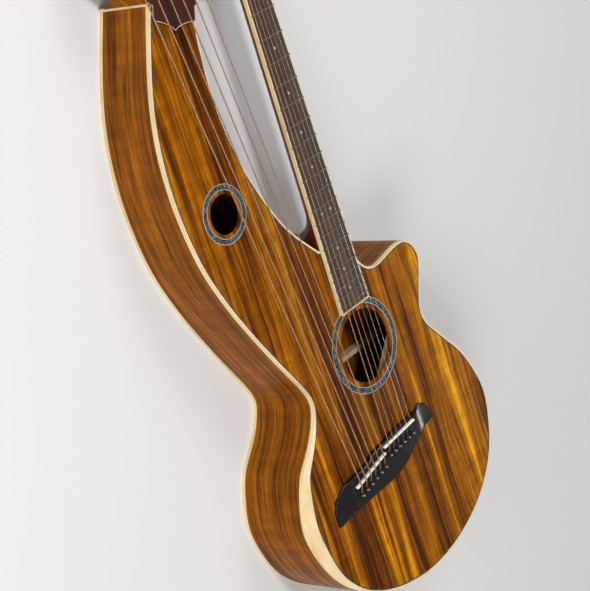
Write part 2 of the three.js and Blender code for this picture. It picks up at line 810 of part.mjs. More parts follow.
// A V thread wound up a core: crests and roots follow one helix, which runs in and out at both ends
// and shows the wheel a crest at its middle
function worm() {
  const crests = wormTurns * threadSteps;
  const roots = crests - threadSteps;
  const root = wormRadius - toothHeight;
  const vertices = [];
  const angleAt = (m) => 2 * Math.PI * (m / threadSteps - wormTurns / 2) + Math.PI;
  const placeAt = (m) => wormPitch * (m / threadSteps - wormTurns / 2);
  const grown = (m) => Math.min(1, (2 * m) / threadSteps, (2 * (crests - m)) / threadSteps);
  const corner = (place, angle, radius) => {
    vertices.push(new THREE.Vector3(place, radius * Math.cos(angle), radius * Math.sin(angle)));
    return vertices.length - 1;
  };
  const run = (count, cornerAt) => Array.from({ length: count }, (_, m) => cornerAt(m));
  const crest = run(crests + 1, (m) => corner(placeAt(m), angleAt(m), root + toothHeight * grown(m)));
  const valley = run(roots + 1, (m) => corner(placeAt(m + threadSteps / 2), angleAt(m), root));
  const foot = run(threadSteps, (m) => corner(-wormHalfLength, angleAt(m), root));
  const top = run(threadSteps, (m) => corner(wormHalfLength, angleAt(m + crests), root));
  const ends = [corner(-wormHalfLength, 0, 0), corner(wormHalfLength, 0, 0)];
  const triangles = [];
  const quad = (a, b, c, d) => triangles.push([a, b, c], [a, c, d]);
  for (let m = 0; m < roots; m++) {
    quad(crest[m], crest[m + 1], valley[m + 1], valley[m]);
    quad(valley[m], valley[m + 1], crest[m + 1 + threadSteps], crest[m + threadSteps]);
  }
  for (let m = 0; m < threadSteps; m++) {
    const n = (m + 1) % threadSteps;
    quad(foot[m], foot[n], crest[m + 1], crest[m]);
    quad(crest[roots + m], crest[roots + m + 1], top[n], top[m]);
    triangles.push([ends[0], foot[n], foot[m]], [ends[1], top[m], top[n]]);
  }
  quad(foot[0], crest[0], valley[0], crest[threadSteps]);
  quad(top[0], crest[crests], valley[roots], crest[roots]);
  return meshFrom(vertices, triangles);
}

// A knob, its shaft and its worm in one, turning about X
function knob() {
  const inner = -wormHalfLength - seatGap - earThickness - shaftEnd;
  const knobStart = edgeDistance + knobGap;
  const knobMiddle = knobStart + knobLength / 2;
  const shaft = rod(shaftRadius, knobMiddle - inner, postSides).rotateZ(Math.PI / 2);
  const button = new THREE.SphereGeometry(1, postSides, threadSteps - 2).rotateZ(Math.PI / 2);
  const collar = rod(collarRadius, knobGap / 2, postSides).rotateZ(Math.PI / 2);
  button.scale(knobLength / 2, knobHalfHeight, knobHalfThickness);
  return joined(
    shaft.translate((inner + knobMiddle) / 2, 0, 0),
    worm(),
    button.translate(knobMiddle, 0, 0),
    collar.translate(knobStart, 0, 0),
  );
}

// The worm wheel's teeth follow the worm's helix, and it shows the worm a valley
function wheel() {
  const crest = wheelPitchRadius + (toothHeight - meshGap) / 2;
  const valley = wheelPitchRadius - toothHeight / 2 - meshGap;
  const points = Array.from({ length: 2 * wheelTeeth }, (_, i) => {
    const angle = Math.PI / 2 + (Math.PI * i) / wheelTeeth;
    const radius = i % 2 ? crest : valley;
    return at(radius * Math.cos(angle), radius * Math.sin(angle));
  });
  const geometry = prism(points, -wheelThickness / 2, wheelThickness / 2);
  const place = geometry.attributes.position;
  for (let i = 0; i < place.count; i++) {
    const p = at(place.getX(i), place.getY(i)).rotateAround(centre, place.getZ(i) * wheelTwist);
    place.setXY(i, p.x, p.y);
  }
  return geometry.translate(0, 0, -gearDrop);
}

// A string post with its wheel and the screw that holds it, turning about Z
function stringPost(headFace) {
  const foot = -gearDrop - wheelThickness / 2 - postScrewRise;
  const waist = headFace + windingHeight;
  const crown = headFace + postHeight;
  const profile = [
    [0, foot],
    [postScrewRadius, foot],
    [postScrewRadius, foot + postScrewRise + seatGap],
    [postRadius, -gearDrop],
    [postRadius, waist - 2 * postRadius],
    [postWaistRadius, waist - postRadius / 2],
    [postRadius, waist + postRadius],
    [postRadius, crown - postChamfer],
    [postRadius - postChamfer, crown],
    [0, crown],
  ];
  return joined(turned(profile, postSides), wheel());
}

// A plate for three tuners, with two ears that carry each worm's shaft
function tunerPlate(pitch, towards) {
  const low = -seatGap - tunerPlateThickness;
  const offsets = [0, pitch * towards, 2 * pitch * towards];
  const ends = [Math.min(...offsets) - tunerPlateMargin, Math.max(...offsets) + tunerPlateMargin];
  const half = tunerPlateWidth / 2;
  const corner = half / 2;
  const outlinePoints = plan(
    [-half, ends[0] + corner], [-corner, ends[0]], [corner, ends[0]], [half, ends[0] + corner],
    [half, ends[1] - corner], [corner, ends[1]], [-corner, ends[1]], [-half, ends[1] - corner],
  );
  const holes = offsets.map((y) => circle(0, y, postRadius + postGap, postSides));
  const strip = prism(outlinePoints, low, -seatGap, holes);
  const shaftHole = circle(-gearDrop, 0, shaftRadius + shaftGap, shaftHoleSides);
  const earPlan = plan(
    [-earDepth, -earWidth / 2], [low, -earWidth / 2], [low, earWidth / 2], [-earDepth, earWidth / 2],
  );
  const earPlace = wormHalfLength + seatGap + earThickness / 2;
  const ear = (x, y) => {
    const blank = prism(earPlan, -earThickness / 2, earThickness / 2, [shaftHole]);
    return blank.rotateY(-Math.PI / 2).translate(x, y + gearDistance, 0);
  };
  return joined(strip, ...offsets.flatMap((y) => [ear(earPlace, y), ear(-earPlace, y)]));
}

// Strings

class PointPath extends THREE.Curve {
  constructor(points) {
    super();
    this.points = points;
  }
  getPoint(t, target = new THREE.Vector3()) {
    const place = THREE.MathUtils.clamp(t, 0, 1) * (this.points.length - 1);
    const i = Math.min(Math.floor(place), this.points.length - 2);
    return target.lerpVectors(this.points[i], this.points[i + 1], place - i);
  }
  getUtoTmapping(u) {
    return u;
  }
}

function cord(points, radius) {
  const options = { steps: points.length - 1, extrudePath: new PointPath(points), bevelEnabled: false };
  return new THREE.ExtrudeGeometry(new THREE.Shape(circle(0, 0, radius, cordSides)), options);
}

// The turns round a post: down from the tangent where the string arrives from the nut
function winding(post, frame, from, radius, face) {
  const reach = postRadius + seatGap + radius;
  const away = from.clone().sub(at(post.x, post.y));
  const start = away.angle() - post.side * Math.acos(reach / away.length());
  const steps = Math.round(windingSteps * windingTurns);
  const fall = (2 * radius + windingGap) * windingTurns;
  const turn = -post.side * 2 * Math.PI * windingTurns;
  return Array.from({ length: steps + 1 }, (_, i) => {
    const share = i / steps;
    const p = at(reach, 0).rotateAround(centre, start + turn * share);
    const height = face + windingHeight - fall * share;
    return new THREE.Vector3(post.x + p.x, post.y + p.y, height).applyMatrix4(frame);
  });
}

// From the bridge pin over the saddle and both edges of the nut to the post
function stringWay(which, along, nutPoints, turns, radius) {
  const clear = seatGap + radius;
  const pin = pinPlace(which, along).add(at(0, pinHeadRadius + clear));
  const over = saddlePlace(which, along);
  const edge = at(0, saddleThickness / 2);
  return [
    raised(pin, bridgeHeight + clear),
    raised(over.clone().sub(edge), saddleHeight + clear),
    raised(over.clone().add(edge), saddleHeight + clear),
    ...nutPoints,
    ...turns,
  ];
}

let leastGap = Infinity;

// The least distance of a wound string's surface to itself, over points half a turn apart or more
function measure(points, radius) {
  for (let i = 0; i < points.length; i++) {
    for (let k = i + windingSteps / 2; k < points.length; k++) {
      leastGap = Math.min(leastGap, points[i].distanceTo(points[k]) - 2 * radius);
    }
  }
}

// The assembly

const looks = {
  koa: { color: 0x9a5420, roughness: 0.25 },
  maple: { color: 0xe9dcb4, roughness: 0.35 },
  spruce: { color: 0xd8b98a, roughness: 0.7 },
  mahogany: { color: 0x6e3a20, roughness: 0.35 },
  ebony: { color: 0x1d1713, roughness: 0.4 },
  bone: { color: 0xf2ead2, roughness: 0.4 },
  abalone: { color: 0x5f8f95, roughness: 0.2, metalness: 0.2 },
  steel: { color: 0xc9c9cc, roughness: 0.25, metalness: 1 },
  bronze: { color: 0xb08350, roughness: 0.35, metalness: 1 },
  nickel: { color: 0xb9b7b0, roughness: 0.3, metalness: 1 },
};

const instrument = new THREE.Group();

function piece(name, geometry, look) {
  const mesh = new THREE.Mesh(geometry, new THREE.MeshStandardMaterial(looks[look]));
  mesh.name = name;
  instrument.add(mesh);
  return mesh;
}

piece("rim", rim(), "koa");
piece("soundboard", soundboard(), "koa");
piece("back", back(), "koa");
piece("top_binding", topBinding(), "maple");
piece("back_binding", backBinding(), "maple");
piece("soundhole_rosette", ring(mainHole, rosetteInner, rosetteOuter, -rosetteDepth, 0), "abalone");
piece("arm_rosette", ring(armHole, armRosetteInner, armRosetteOuter, -rosetteDepth, 0), "abalone");
piece("top_bracing", topBracing(), "spruce");
piece("back_bracing", backBracing(), "spruce");
piece("neck_block", neckBlock(), "mahogany");
piece("tail_block", tailBlock(), "mahogany");
piece("neck", neck(), "mahogany");
piece("fretboard", fretboard(), "ebony");
piece("nut", nut(), "bone");
piece("arm_head", armHead(), "koa");
piece("arm_head_plate", armPlate(), "ebony");
piece("bass_nut", bassNut(), "bone");
piece("bridge", bridge(), "ebony");
piece("main_saddle", saddle(mainSaddle), "bone");
piece("bass_saddle", saddle(bassSaddle), "bone");

const knobShape = knob();
const shifted = (frame, y, z) => frame.clone().multiply(new THREE.Matrix4().makeTranslation(0, y, z));

function tuners(label, posts, thickness, face, pitch) {
  const postShape = stringPost(thickness + face);
  posts.forEach((post, i) => {
    const place = shifted(post.frame, 0, -thickness);
    piece(label + "_post_" + (i + 1), postShape, "nickel").applyMatrix4(place);
    const shaftPlace = shifted(place, gearDistance, -gearDrop);
    piece(label + "_knob_" + (i + 1), knobShape, "nickel").applyMatrix4(shaftPlace);
  });
  for (const [side, first, towards] of [["treble", 0, 1], ["bass", 5, -1]]) {
    const place = shifted(posts[first].frame, 0, -thickness);
    piece(label + "_plate_" + side, tunerPlate(pitch, towards), "nickel").applyMatrix4(place);
  }
}

tuners("tuner", mainPosts, headThickness, 0, postPitch);
tuners("bass_tuner", bassPosts, armHeadThickness, armPlateTop, bassRow.length());

const nutPlaces = spaced(nutSpread);
spaced(stringSpread).forEach((along, i) => {
  const radius = stringRadii[i];
  const height = nutTop + seatGap + radius;
  const front = new THREE.Vector3(nutPlaces[i], scaleLength + seatGap, height);
  const rear = front.clone().setY(scaleLength + seatGap + nutThickness);
  const from = rear.clone().applyMatrix4(headFrame.clone().invert());
  const turns = winding(mainPosts[i], headFrame, at(from.x, from.y), radius, 0);
  const way = stringWay(mainSaddle, along, [front, rear], turns, radius);
  measure(turns, radius);
  piece("string_" + (i + 1), cord(way, radius), i < 2 ? "steel" : "bronze");
});

const bassNutPlaces = spaced(bassNutSpread);
spaced(bassSpread).forEach((along, i) => {
  const radius = bassStringRadii[i];
  const height = bassNutTop + seatGap + radius;
  const front = raised(fromArmHead(at(bassNutPlaces[i], -bassNutThickness / 2)), height);
  const from = at(bassNutPlaces[i], bassNutThickness / 2);
  const rear = raised(fromArmHead(from), height);
  const turns = winding(bassPosts[i], armHeadFrame, from, radius, armPlateTop);
  const way = stringWay(bassSaddle, along, [front, rear], turns, radius);
  measure(turns, radius);
  piece("bass_string_" + (i + 1), cord(way, radius), "bronze");
});

console.log("least gap of a wound string to itself: " + leastGap.toFixed(2) + " mm");

instrument.rotation.x = -radians(bodyTaper);
instrument.position.set(0, 0, bodyDepth).applyEuler(instrument.rotation);

export default new THREE.Group().add(instrument);
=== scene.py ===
# A harp guitar of koa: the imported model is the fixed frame, and this script gives it its finish.
# Lengths below are millimetres with the soundboard level: x to the treble side, y from the saddle to the
# heads, z out of the soundboard. The matrix "level" leans that drawing into the model's own frame, in metres.
import json
import math
import bmesh
import bpy
from mathutils import Matrix, Vector


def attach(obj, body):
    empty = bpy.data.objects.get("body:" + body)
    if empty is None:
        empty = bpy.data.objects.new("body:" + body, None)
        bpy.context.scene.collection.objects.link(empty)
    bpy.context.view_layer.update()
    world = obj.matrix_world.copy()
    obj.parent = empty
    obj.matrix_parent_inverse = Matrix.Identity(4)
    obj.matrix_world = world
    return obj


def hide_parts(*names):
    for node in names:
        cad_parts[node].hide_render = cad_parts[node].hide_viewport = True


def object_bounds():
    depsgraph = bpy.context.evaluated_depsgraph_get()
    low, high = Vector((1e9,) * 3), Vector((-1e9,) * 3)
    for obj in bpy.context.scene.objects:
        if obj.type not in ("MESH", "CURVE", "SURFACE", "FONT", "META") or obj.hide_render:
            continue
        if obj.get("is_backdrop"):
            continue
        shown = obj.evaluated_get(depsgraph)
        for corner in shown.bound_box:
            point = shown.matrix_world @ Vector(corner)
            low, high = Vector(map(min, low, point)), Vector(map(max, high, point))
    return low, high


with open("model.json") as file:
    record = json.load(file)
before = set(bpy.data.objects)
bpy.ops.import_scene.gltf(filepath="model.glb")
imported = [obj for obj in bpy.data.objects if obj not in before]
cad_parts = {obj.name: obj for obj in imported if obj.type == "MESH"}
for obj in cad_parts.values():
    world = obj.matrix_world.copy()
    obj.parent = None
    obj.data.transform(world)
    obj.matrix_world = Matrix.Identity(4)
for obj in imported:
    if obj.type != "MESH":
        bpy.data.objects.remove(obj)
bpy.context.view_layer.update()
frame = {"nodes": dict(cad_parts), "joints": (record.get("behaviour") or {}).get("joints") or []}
nodes = frame["nodes"]
scene = bpy.context.scene

mm = 0.001
instrument = {"lean": -2.26, "depth": 115, "body": "instrument"}
level = Matrix.Rotation(math.radians(instrument["lean"]), 4, "X") @ Matrix.Translation(
    (0, 0, instrument["depth"] * mm))
unlevel = level.inverted()


def place(x, y, z):
    # a point of the drawing, in the model's frame
    return level @ Vector((x * mm, y * mm, z * mm))


def drawn(vert):
    # where a vertex lies in the drawing
    return unlevel @ vert.co / mm


# camera and lamps

camera = {"place": (-1.84681, 1.19598, 1.89175), "turn": (-5.5904, -48.3868, -23.3274),
          "lens": 125.575, "shift": (-0.02844, 0.12374), "sensor": 36, "reach": 50}
camData = bpy.data.cameras.new("camera")
camData.sensor_width = camera["sensor"]
camData.lens = camera["lens"]
camData.shift_x, camData.shift_y = camera["shift"]
camData.clip_end = camera["reach"]
cam = bpy.data.objects.new("camera", camData)
cam.location = camera["place"]
cam.rotation_euler = [math.radians(a) for a in camera["turn"]]
scene.collection.objects.link(cam)
scene.camera = cam

studio = {"world": 0.24, "floor": (0.62, 0.615, 0.605), "floorRough": 0.9, "floorHalf": 12,
          "lamps": [("keyLamp", (-2.6, -0.9, 2.3), 1.8, 66), ("headLamp", (0.9, 3.2, 2.6), 1.8, 46),
                    ("sideLamp", (-3.2, 1.0, 0.9), 1.4, 30), ("holeLamp", (-0.75, 1.25, 2.4), 0.4, 38),
                    ("wingLamp", (3.0, -1.3, 1.1), 0.6, 16)],
          "aim": (0, 0.25, 0.05)}
world = bpy.data.worlds.new("studio")
world.use_nodes = True
sky = world.node_tree.nodes["Background"].inputs
sky["Color"].default_value = (1, 1, 1, 1)
sky["Strength"].default_value = studio["world"]
scene.world = world
for name, spot, size, power in studio["lamps"]:
    lampData = bpy.data.lights.new(name, "AREA")
    lampData.shape = "DISK"
    lampData.size = size
    lampData.energy = power
    lamp = bpy.data.objects.new(name, lampData)
    lamp.location = spot
    lamp.rotation_euler = (Vector(studio["aim"]) - Vector(spot)).to_track_quat("-Z", "Y").to_euler()
    scene.collection.objects.link(lamp)
scene.view_settings.view_transform = "Standard"
print("camera and lamps are set")


# materials

def toned(red, green, blue):
    # a colour as a photograph shows it, 0 to 255, turned to the renderer's own scale
    def linear(c):
        c = c / 255
        return c / 12.92 if c <= 0.04045 else ((c + 0.055) / 1.055) ** 2.4
    return (linear(red), linear(green), linear(blue), 1)


class Nodes:
    # a material being wired, one short call for each node
    def __init__(self, name):
        self.material = bpy.data.materials.new(name)
        self.material.use_nodes = True
        self.tree = self.material.node_tree
        self.shader = self.tree.nodes["Principled BSDF"]

    def add(self, kind, **settings):
        node = self.tree.nodes.new(kind)
        for key, value in settings.items():
            setattr(node, key, value)
        return node

    def link(self, source, target):
        self.tree.links.new(source, target)

    def drawing(self):
        # the drawing's own millimetres, soundboard level, whatever piece the material is on
        coordinate = self.add("ShaderNodeTexCoord")
        mapping = self.add("ShaderNodeMapping")
        mapping.inputs["Scale"].default_value = (1000, 1000, 1000)
        mapping.inputs["Rotation"].default_value = (-math.radians(instrument["lean"]), 0, 0)
        mapping.inputs["Location"].default_value = (0, 0, -instrument["depth"])
        self.link(coordinate.outputs["Object"], mapping.inputs["Vector"])
        return mapping.outputs["Vector"]

    def stretched(self, vector, scale, turn=(0, 0, 0)):
        mapping = self.add("ShaderNodeMapping")
        mapping.inputs["Scale"].default_value = scale
        mapping.inputs["Rotation"].default_value = [math.radians(a) for a in turn]
        self.link(vector, mapping.inputs["Vector"])
        return mapping.outputs["Vector"]

    def noise(self, vector, detail=2, rough=0.5, distortion=0):
        # its size comes from the stretched vector alone
        node = self.add("ShaderNodeTexNoise")
        node.inputs["Scale"].default_value = 1
        node.inputs["Detail"].default_value = detail
        node.inputs["Roughness"].default_value = rough
        node.inputs["Distortion"].default_value = distortion
        self.link(vector, node.inputs["Vector"])
        return node.outputs["Fac"]

    def reckon(self, kind, first, second=None):
        node = self.add("ShaderNodeMath", operation=kind)
        for socket, value in zip(node.inputs, (first, second)):
            if isinstance(value, (int, float)):
                socket.default_value = value
            elif value is not None:
                self.link(value, socket)
        return node.outputs[0]

    def spread(self, value, low, high, newLow=0, newHigh=1):
        node = self.add("ShaderNodeMapRange")
        node.inputs["From Min"].default_value = low
        node.inputs["From Max"].default_value = high
        node.inputs["To Min"].default_value = newLow
        node.inputs["To Max"].default_value = newHigh
        self.link(value, node.inputs["Value"])
        return node.outputs["Result"]

    def ramp(self, value, stops):
        node = self.add("ShaderNodeValToRGB")
        elements = node.color_ramp.elements
        while len(elements) < len(stops):
            elements.new(0.5)
        for element, (spot, colour) in zip(elements, stops):
            element.position = spot
            element.color = colour
        self.link(value, node.inputs["Fac"])
        return node.outputs["Color"]

    def blend(self, kind, amount, first, second):
        node = self.add("ShaderNodeMix", data_type="RGBA", blend_type=kind)
        for name, value in (("Factor", amount), ("A", first), ("B", second)):
            socket = [s for s in node.inputs if s.name == name and s.enabled][0]
            if isinstance(value, (int, float, tuple)):
                socket.default_value = value
            else:
                self.link(value, socket)
        return [s for s in node.outputs if s.enabled][0]

    def axes(self, vector):
        node = self.add("ShaderNodeSeparateXYZ")
        self.link(vector, node.inputs[0])
        return node.outputs

    def joined(self, parts):
        node = self.add("ShaderNodeCombineXYZ")
        for socket, part in zip(node.inputs, parts):
            self.link(part, socket)
        return node.outputs[0]

    def bump(self, height, strength, distance):
        node = self.add("ShaderNodeBump")
        node.inputs["Strength"].default_value = strength
        node.inputs["Distance"].default_value = distance * mm
        self.link(height, node.inputs["Height"])
        self.link(node.outputs["Normal"], self.shader.inputs["Normal"])

    def finish(self, colour, rough, **settings):
        self.link(colour, self.shader.inputs["Base Color"])
        self.link(rough, self.shader.inputs["Roughness"])
        for key, value in settings.items():
            self.shader.inputs[key].default_value = value
        return self.material


# koa: bands of gold and brown grown from noise, with dark lines, pores and a faint curl across them
koaTones = {"deep": toned(40, 19, 3), "dark": toned(74, 38, 4), "brown": toned(108, 62, 5),
            "amber": toned(138, 86, 7), "honey": toned(166, 112, 11), "gold": toned(202, 152, 24)}
# on the top and the sides the lightening from one place across the grain to another is painted light: a
# painted sheen towards the treble side, and painted light on the upper part of the sides; on the back it
# lightens towards the edges
koaTop = {"band": 26, "stripe": 5.5, "drift": 9, "slant": 1.4, "contrast": 1, "seed": 3,
          "paintedLightAndTone": (40, 130, 0.07)}
koaSide = {"band": 26, "stripe": 7, "drift": 4, "slant": 0, "contrast": 0.42, "seed": 11,
           "paintedLightAndTone": (-90, -40, 0.03)}
koaBack = {"band": 30, "stripe": 9, "drift": 9, "slant": 1.4, "contrast": 0.9, "seed": 23,
           "paintedLightAndTone": (20, 120, 0.03), "seam": 2.2, "seamTone": toned(214, 186, 136)}
# each part of the figure by how fast it changes in a millimetre, across the grain and along it
koaGrain = {"wander": (0.014, 0.0036), "sway": (0.06, 0.011), "bandRun": 0.0017, "stripeRun": 0.0026,
            "streaks": (0.16, 0.0045), "fine": (0.8, 0.009), "rings": (0.2, 0.0022), "pores": (2.6, 0.09),
            "curl": (0.018, 0.06), "swayWidth": 4, "bandShare": 0.62, "middle": 0.52, "range": 0.17,
            "ringLevel": 0.47}


def koa(name, look, across, mirrored=False):
    # across is the drawing's axis, 0 to 2, that the grain crosses; band and stripe are widths in millimetres,
    # and one entry holds two places across the grain and how much lighter the colour gets from one to the
    # other, which is painted light on the top and the sides and a lightening towards the edges on the back
    make = Nodes(name)
    drawing = make.drawing()
    turn = (0, 0, look["slant"])

    def sized(crossing, running):
        scale = [running, running, running]
        scale[across] = crossing
        return tuple(scale)

    def grey(light):
        # a shade that the wood is multiplied by, a little warm
        return (light, light * 0.96, light * 0.9, 1)

    # the growth wanders, so the coordinate across the grain is bent before anything is drawn along it
    parts = list(make.axes(drawing))
    crossing = make.reckon("ABSOLUTE", parts[across]) if mirrored else parts[across]
    wander = make.noise(make.stretched(drawing, sized(*koaGrain["wander"])), 3, 0.5)
    sway = make.noise(make.stretched(drawing, sized(*koaGrain["sway"])), 2, 0.5)
    bent = make.reckon("ADD", crossing, make.spread(wander, 0, 1, -look["drift"], look["drift"]))
    bent = make.reckon("ADD", bent, make.spread(sway, 0, 1, -koaGrain["swayWidth"], koaGrain["swayWidth"]))
    parts[across] = make.reckon("ADD", bent, look["seed"] * look["band"])
    grain = make.joined(parts)
    bands = make.noise(make.stretched(grain, sized(1 / look["band"], koaGrain["bandRun"]), turn), 2, 0.5)
    stripes = make.noise(
        make.stretched(grain, sized(1 / look["stripe"], koaGrain["stripeRun"]), turn), 3, 0.6)
    # painted light on the top and the sides: the colour lightens between two places across the grain
    start, stop, gain = look["paintedLightAndTone"]
    share = koaGrain["bandShare"]
    bands, stripes = make.reckon("MULTIPLY", bands, share), make.reckon("MULTIPLY", stripes, 1 - share)
    tone = make.reckon("ADD", make.reckon("ADD", bands, stripes), make.spread(crossing, start, stop, 0, gain))
    half = koaGrain["range"] / look["contrast"]
    colour = make.ramp(make.spread(tone, koaGrain["middle"] - half, koaGrain["middle"] + half), [
        (0.0, koaTones["deep"]), (0.2, koaTones["dark"]), (0.4, koaTones["brown"]), (0.58, koaTones["amber"]),
        (0.78, koaTones["honey"]), (1.0, koaTones["gold"])])
    # streaks a few millimetres wide, then finer ones, then single dark lines of late growth
    streaks = make.noise(make.stretched(grain, sized(*koaGrain["streaks"]), turn), 5, 0.68, 0.15)
    colour = make.blend("MULTIPLY", 0.9, colour, make.ramp(streaks, [
        (0.32, grey(0.32)), (0.43, grey(0.74)), (0.5, grey(1.0)), (0.6, grey(1.26)), (0.7, grey(1.6))]))
    fine = make.noise(make.stretched(grain, sized(*koaGrain["fine"]), turn), 4, 0.65)
    colour = make.blend("MULTIPLY", 1.0, colour, make.ramp(fine, [
        (0.3, grey(0.5)), (0.45, grey(0.9)), (0.58, grey(1.12)), (0.72, grey(1.35))]))
    rings = make.noise(make.stretched(grain, sized(*koaGrain["rings"]), turn), 1, 0.4)
    line = make.reckon("ABSOLUTE", make.reckon("SUBTRACT", rings, koaGrain["ringLevel"]))
    colour = make.blend("MULTIPLY", 0.75, colour, make.ramp(line, [(0.0, grey(0.26)), (0.024, grey(1.0))]))
    pores = make.noise(make.stretched(drawing, sized(*koaGrain["pores"])), 1, 0.5)
    colour = make.blend("MULTIPLY", 0.8, colour, make.ramp(pores, [(0.3, grey(0.35)), (0.42, grey(1.0))]))
    curl = make.noise(make.stretched(drawing, sized(*koaGrain["curl"])), 2, 0.5, 0.4)
    colour = make.blend("MULTIPLY", 1.0, colour, make.ramp(curl, [(0.3, grey(0.86)), (0.7, grey(1.16))]))
    if mirrored:
        seam = make.reckon("LESS_THAN", crossing, look["seam"])
        colour = make.blend("MIX", seam, colour, look["seamTone"])
    rough = make.spread(make.reckon("ADD", fine, streaks), 0.6, 1.4, 0.4, 0.28)
    height = make.reckon("ADD", make.reckon("MULTIPLY", fine, 0.6), make.reckon("MULTIPLY", pores, 0.5))
    make.bump(height, 0.3, 0.04)
    return make.finish(colour, rough, **{"Specular IOR Level": 0.08})


def plain(name, tones, scales, rough, bump, **settings):
    # a quieter stuff: two tones that a stretched noise mixes, and a finer one that lines and bumps it
    make = Nodes(name)
    drawing = make.drawing()
    broad = make.noise(make.stretched(drawing, scales["broad"]), 3, 0.55)
    fine = make.noise(make.stretched(drawing, scales["fine"]), 3, 0.6)
    colour = make.ramp(broad, [(0.3, tones[0]), (0.7, tones[1])])
    colour = make.blend("MULTIPLY", scales.get("lines", 0.6), colour, make.ramp(fine, [
        (0.32, (0.7, 0.66, 0.62, 1)), (0.56, (1, 1, 1, 1)), (0.75, (1.1, 1.1, 1.08, 1))]))
    make.bump(fine, bump, 0.05)
    return make.finish(colour, make.spread(fine, 0.25, 0.75, rough[0], rough[1]), **settings)


def abaloneShell():
    make = Nodes("abaloneShell")
    drawing = make.drawing()
    flow = make.noise(make.stretched(drawing, (0.15, 0.15, 0.15)), 4, 0.62, 1.8)
    colour = make.ramp(flow, [
        (0.36, toned(12, 16, 22)), (0.42, toned(34, 66, 76)), (0.47, toned(20, 26, 34)),
        (0.51, toned(88, 122, 122)), (0.55, toned(28, 34, 48)), (0.59, toned(82, 68, 112)),
        (0.63, toned(150, 168, 158)), (0.68, toned(20, 30, 36))])
    cracks = make.noise(make.stretched(drawing, (0.45, 0.45, 0.45)), 3, 0.65, 2.2)
    colour = make.blend("MULTIPLY", 0.9, colour, make.ramp(cracks, [
        (0.4, (0.22, 0.24, 0.27, 1)), (0.5, (0.9, 0.9, 0.9, 1)), (0.66, (1.4, 1.38, 1.34, 1))]))
    make.bump(cracks, 0.15, 0.05)
    return make.finish(colour, make.spread(cracks, 0.3, 0.7, 0.3, 0.16),
                       **{"Coat Weight": 0.3, "Coat Roughness": 0.08})


def metal(name, tone, rough, scale):
    make = Nodes(name)
    drawing = make.drawing()
    clouds = make.noise(make.stretched(drawing, (0.35, 0.35, 0.35)), 3, 0.6)
    brushed = make.noise(make.stretched(drawing, scale), 3, 0.6)
    darker = tuple(c * 0.8 for c in tone[:3]) + (1,)
    colour = make.ramp(clouds, [(0.3, darker), (0.7, tone)])
    make.bump(brushed, 0.1, 0.03)
    return make.finish(colour, make.spread(brushed, 0.25, 0.75, rough[0], rough[1]), **{"Metallic": 1.0})


def woundString():
    # fine turns of bronze wire that bump the surface, with painted shade in the grooves between them and a
    # painted highlight on their crowns; the "along" attribute runs in millimetres from the string's end
    make = Nodes("woundString")
    along = make.add("ShaderNodeAttribute", attribute_name="along").outputs["Fac"]
    wireWidth = 0.55
    windingAndShade = make.reckon("SINE", make.reckon("MULTIPLY", along, 2 * math.pi / wireWidth))
    clouds = make.noise(make.stretched(make.drawing(), (0.1, 0.1, 0.1)), 2, 0.5)
    # painted shade and highlight: dark in the grooves between the turns, light on their crowns
    colour = make.ramp(windingAndShade, [
        (0.0, toned(118, 82, 58)), (0.5, toned(180, 138, 104)), (1.0, toned(206, 170, 136))])
    colour = make.blend("MULTIPLY", 0.5, colour, make.ramp(clouds, [
        (0.3, (0.8, 0.76, 0.74, 1)), (0.7, (1.05, 1.05, 1.05, 1))]))
    make.bump(windingAndShade, 0.25, 0.06)
    return make.finish(colour, make.spread(clouds, 0.3, 0.7, 0.42, 0.32), **{"Metallic": 0.75})


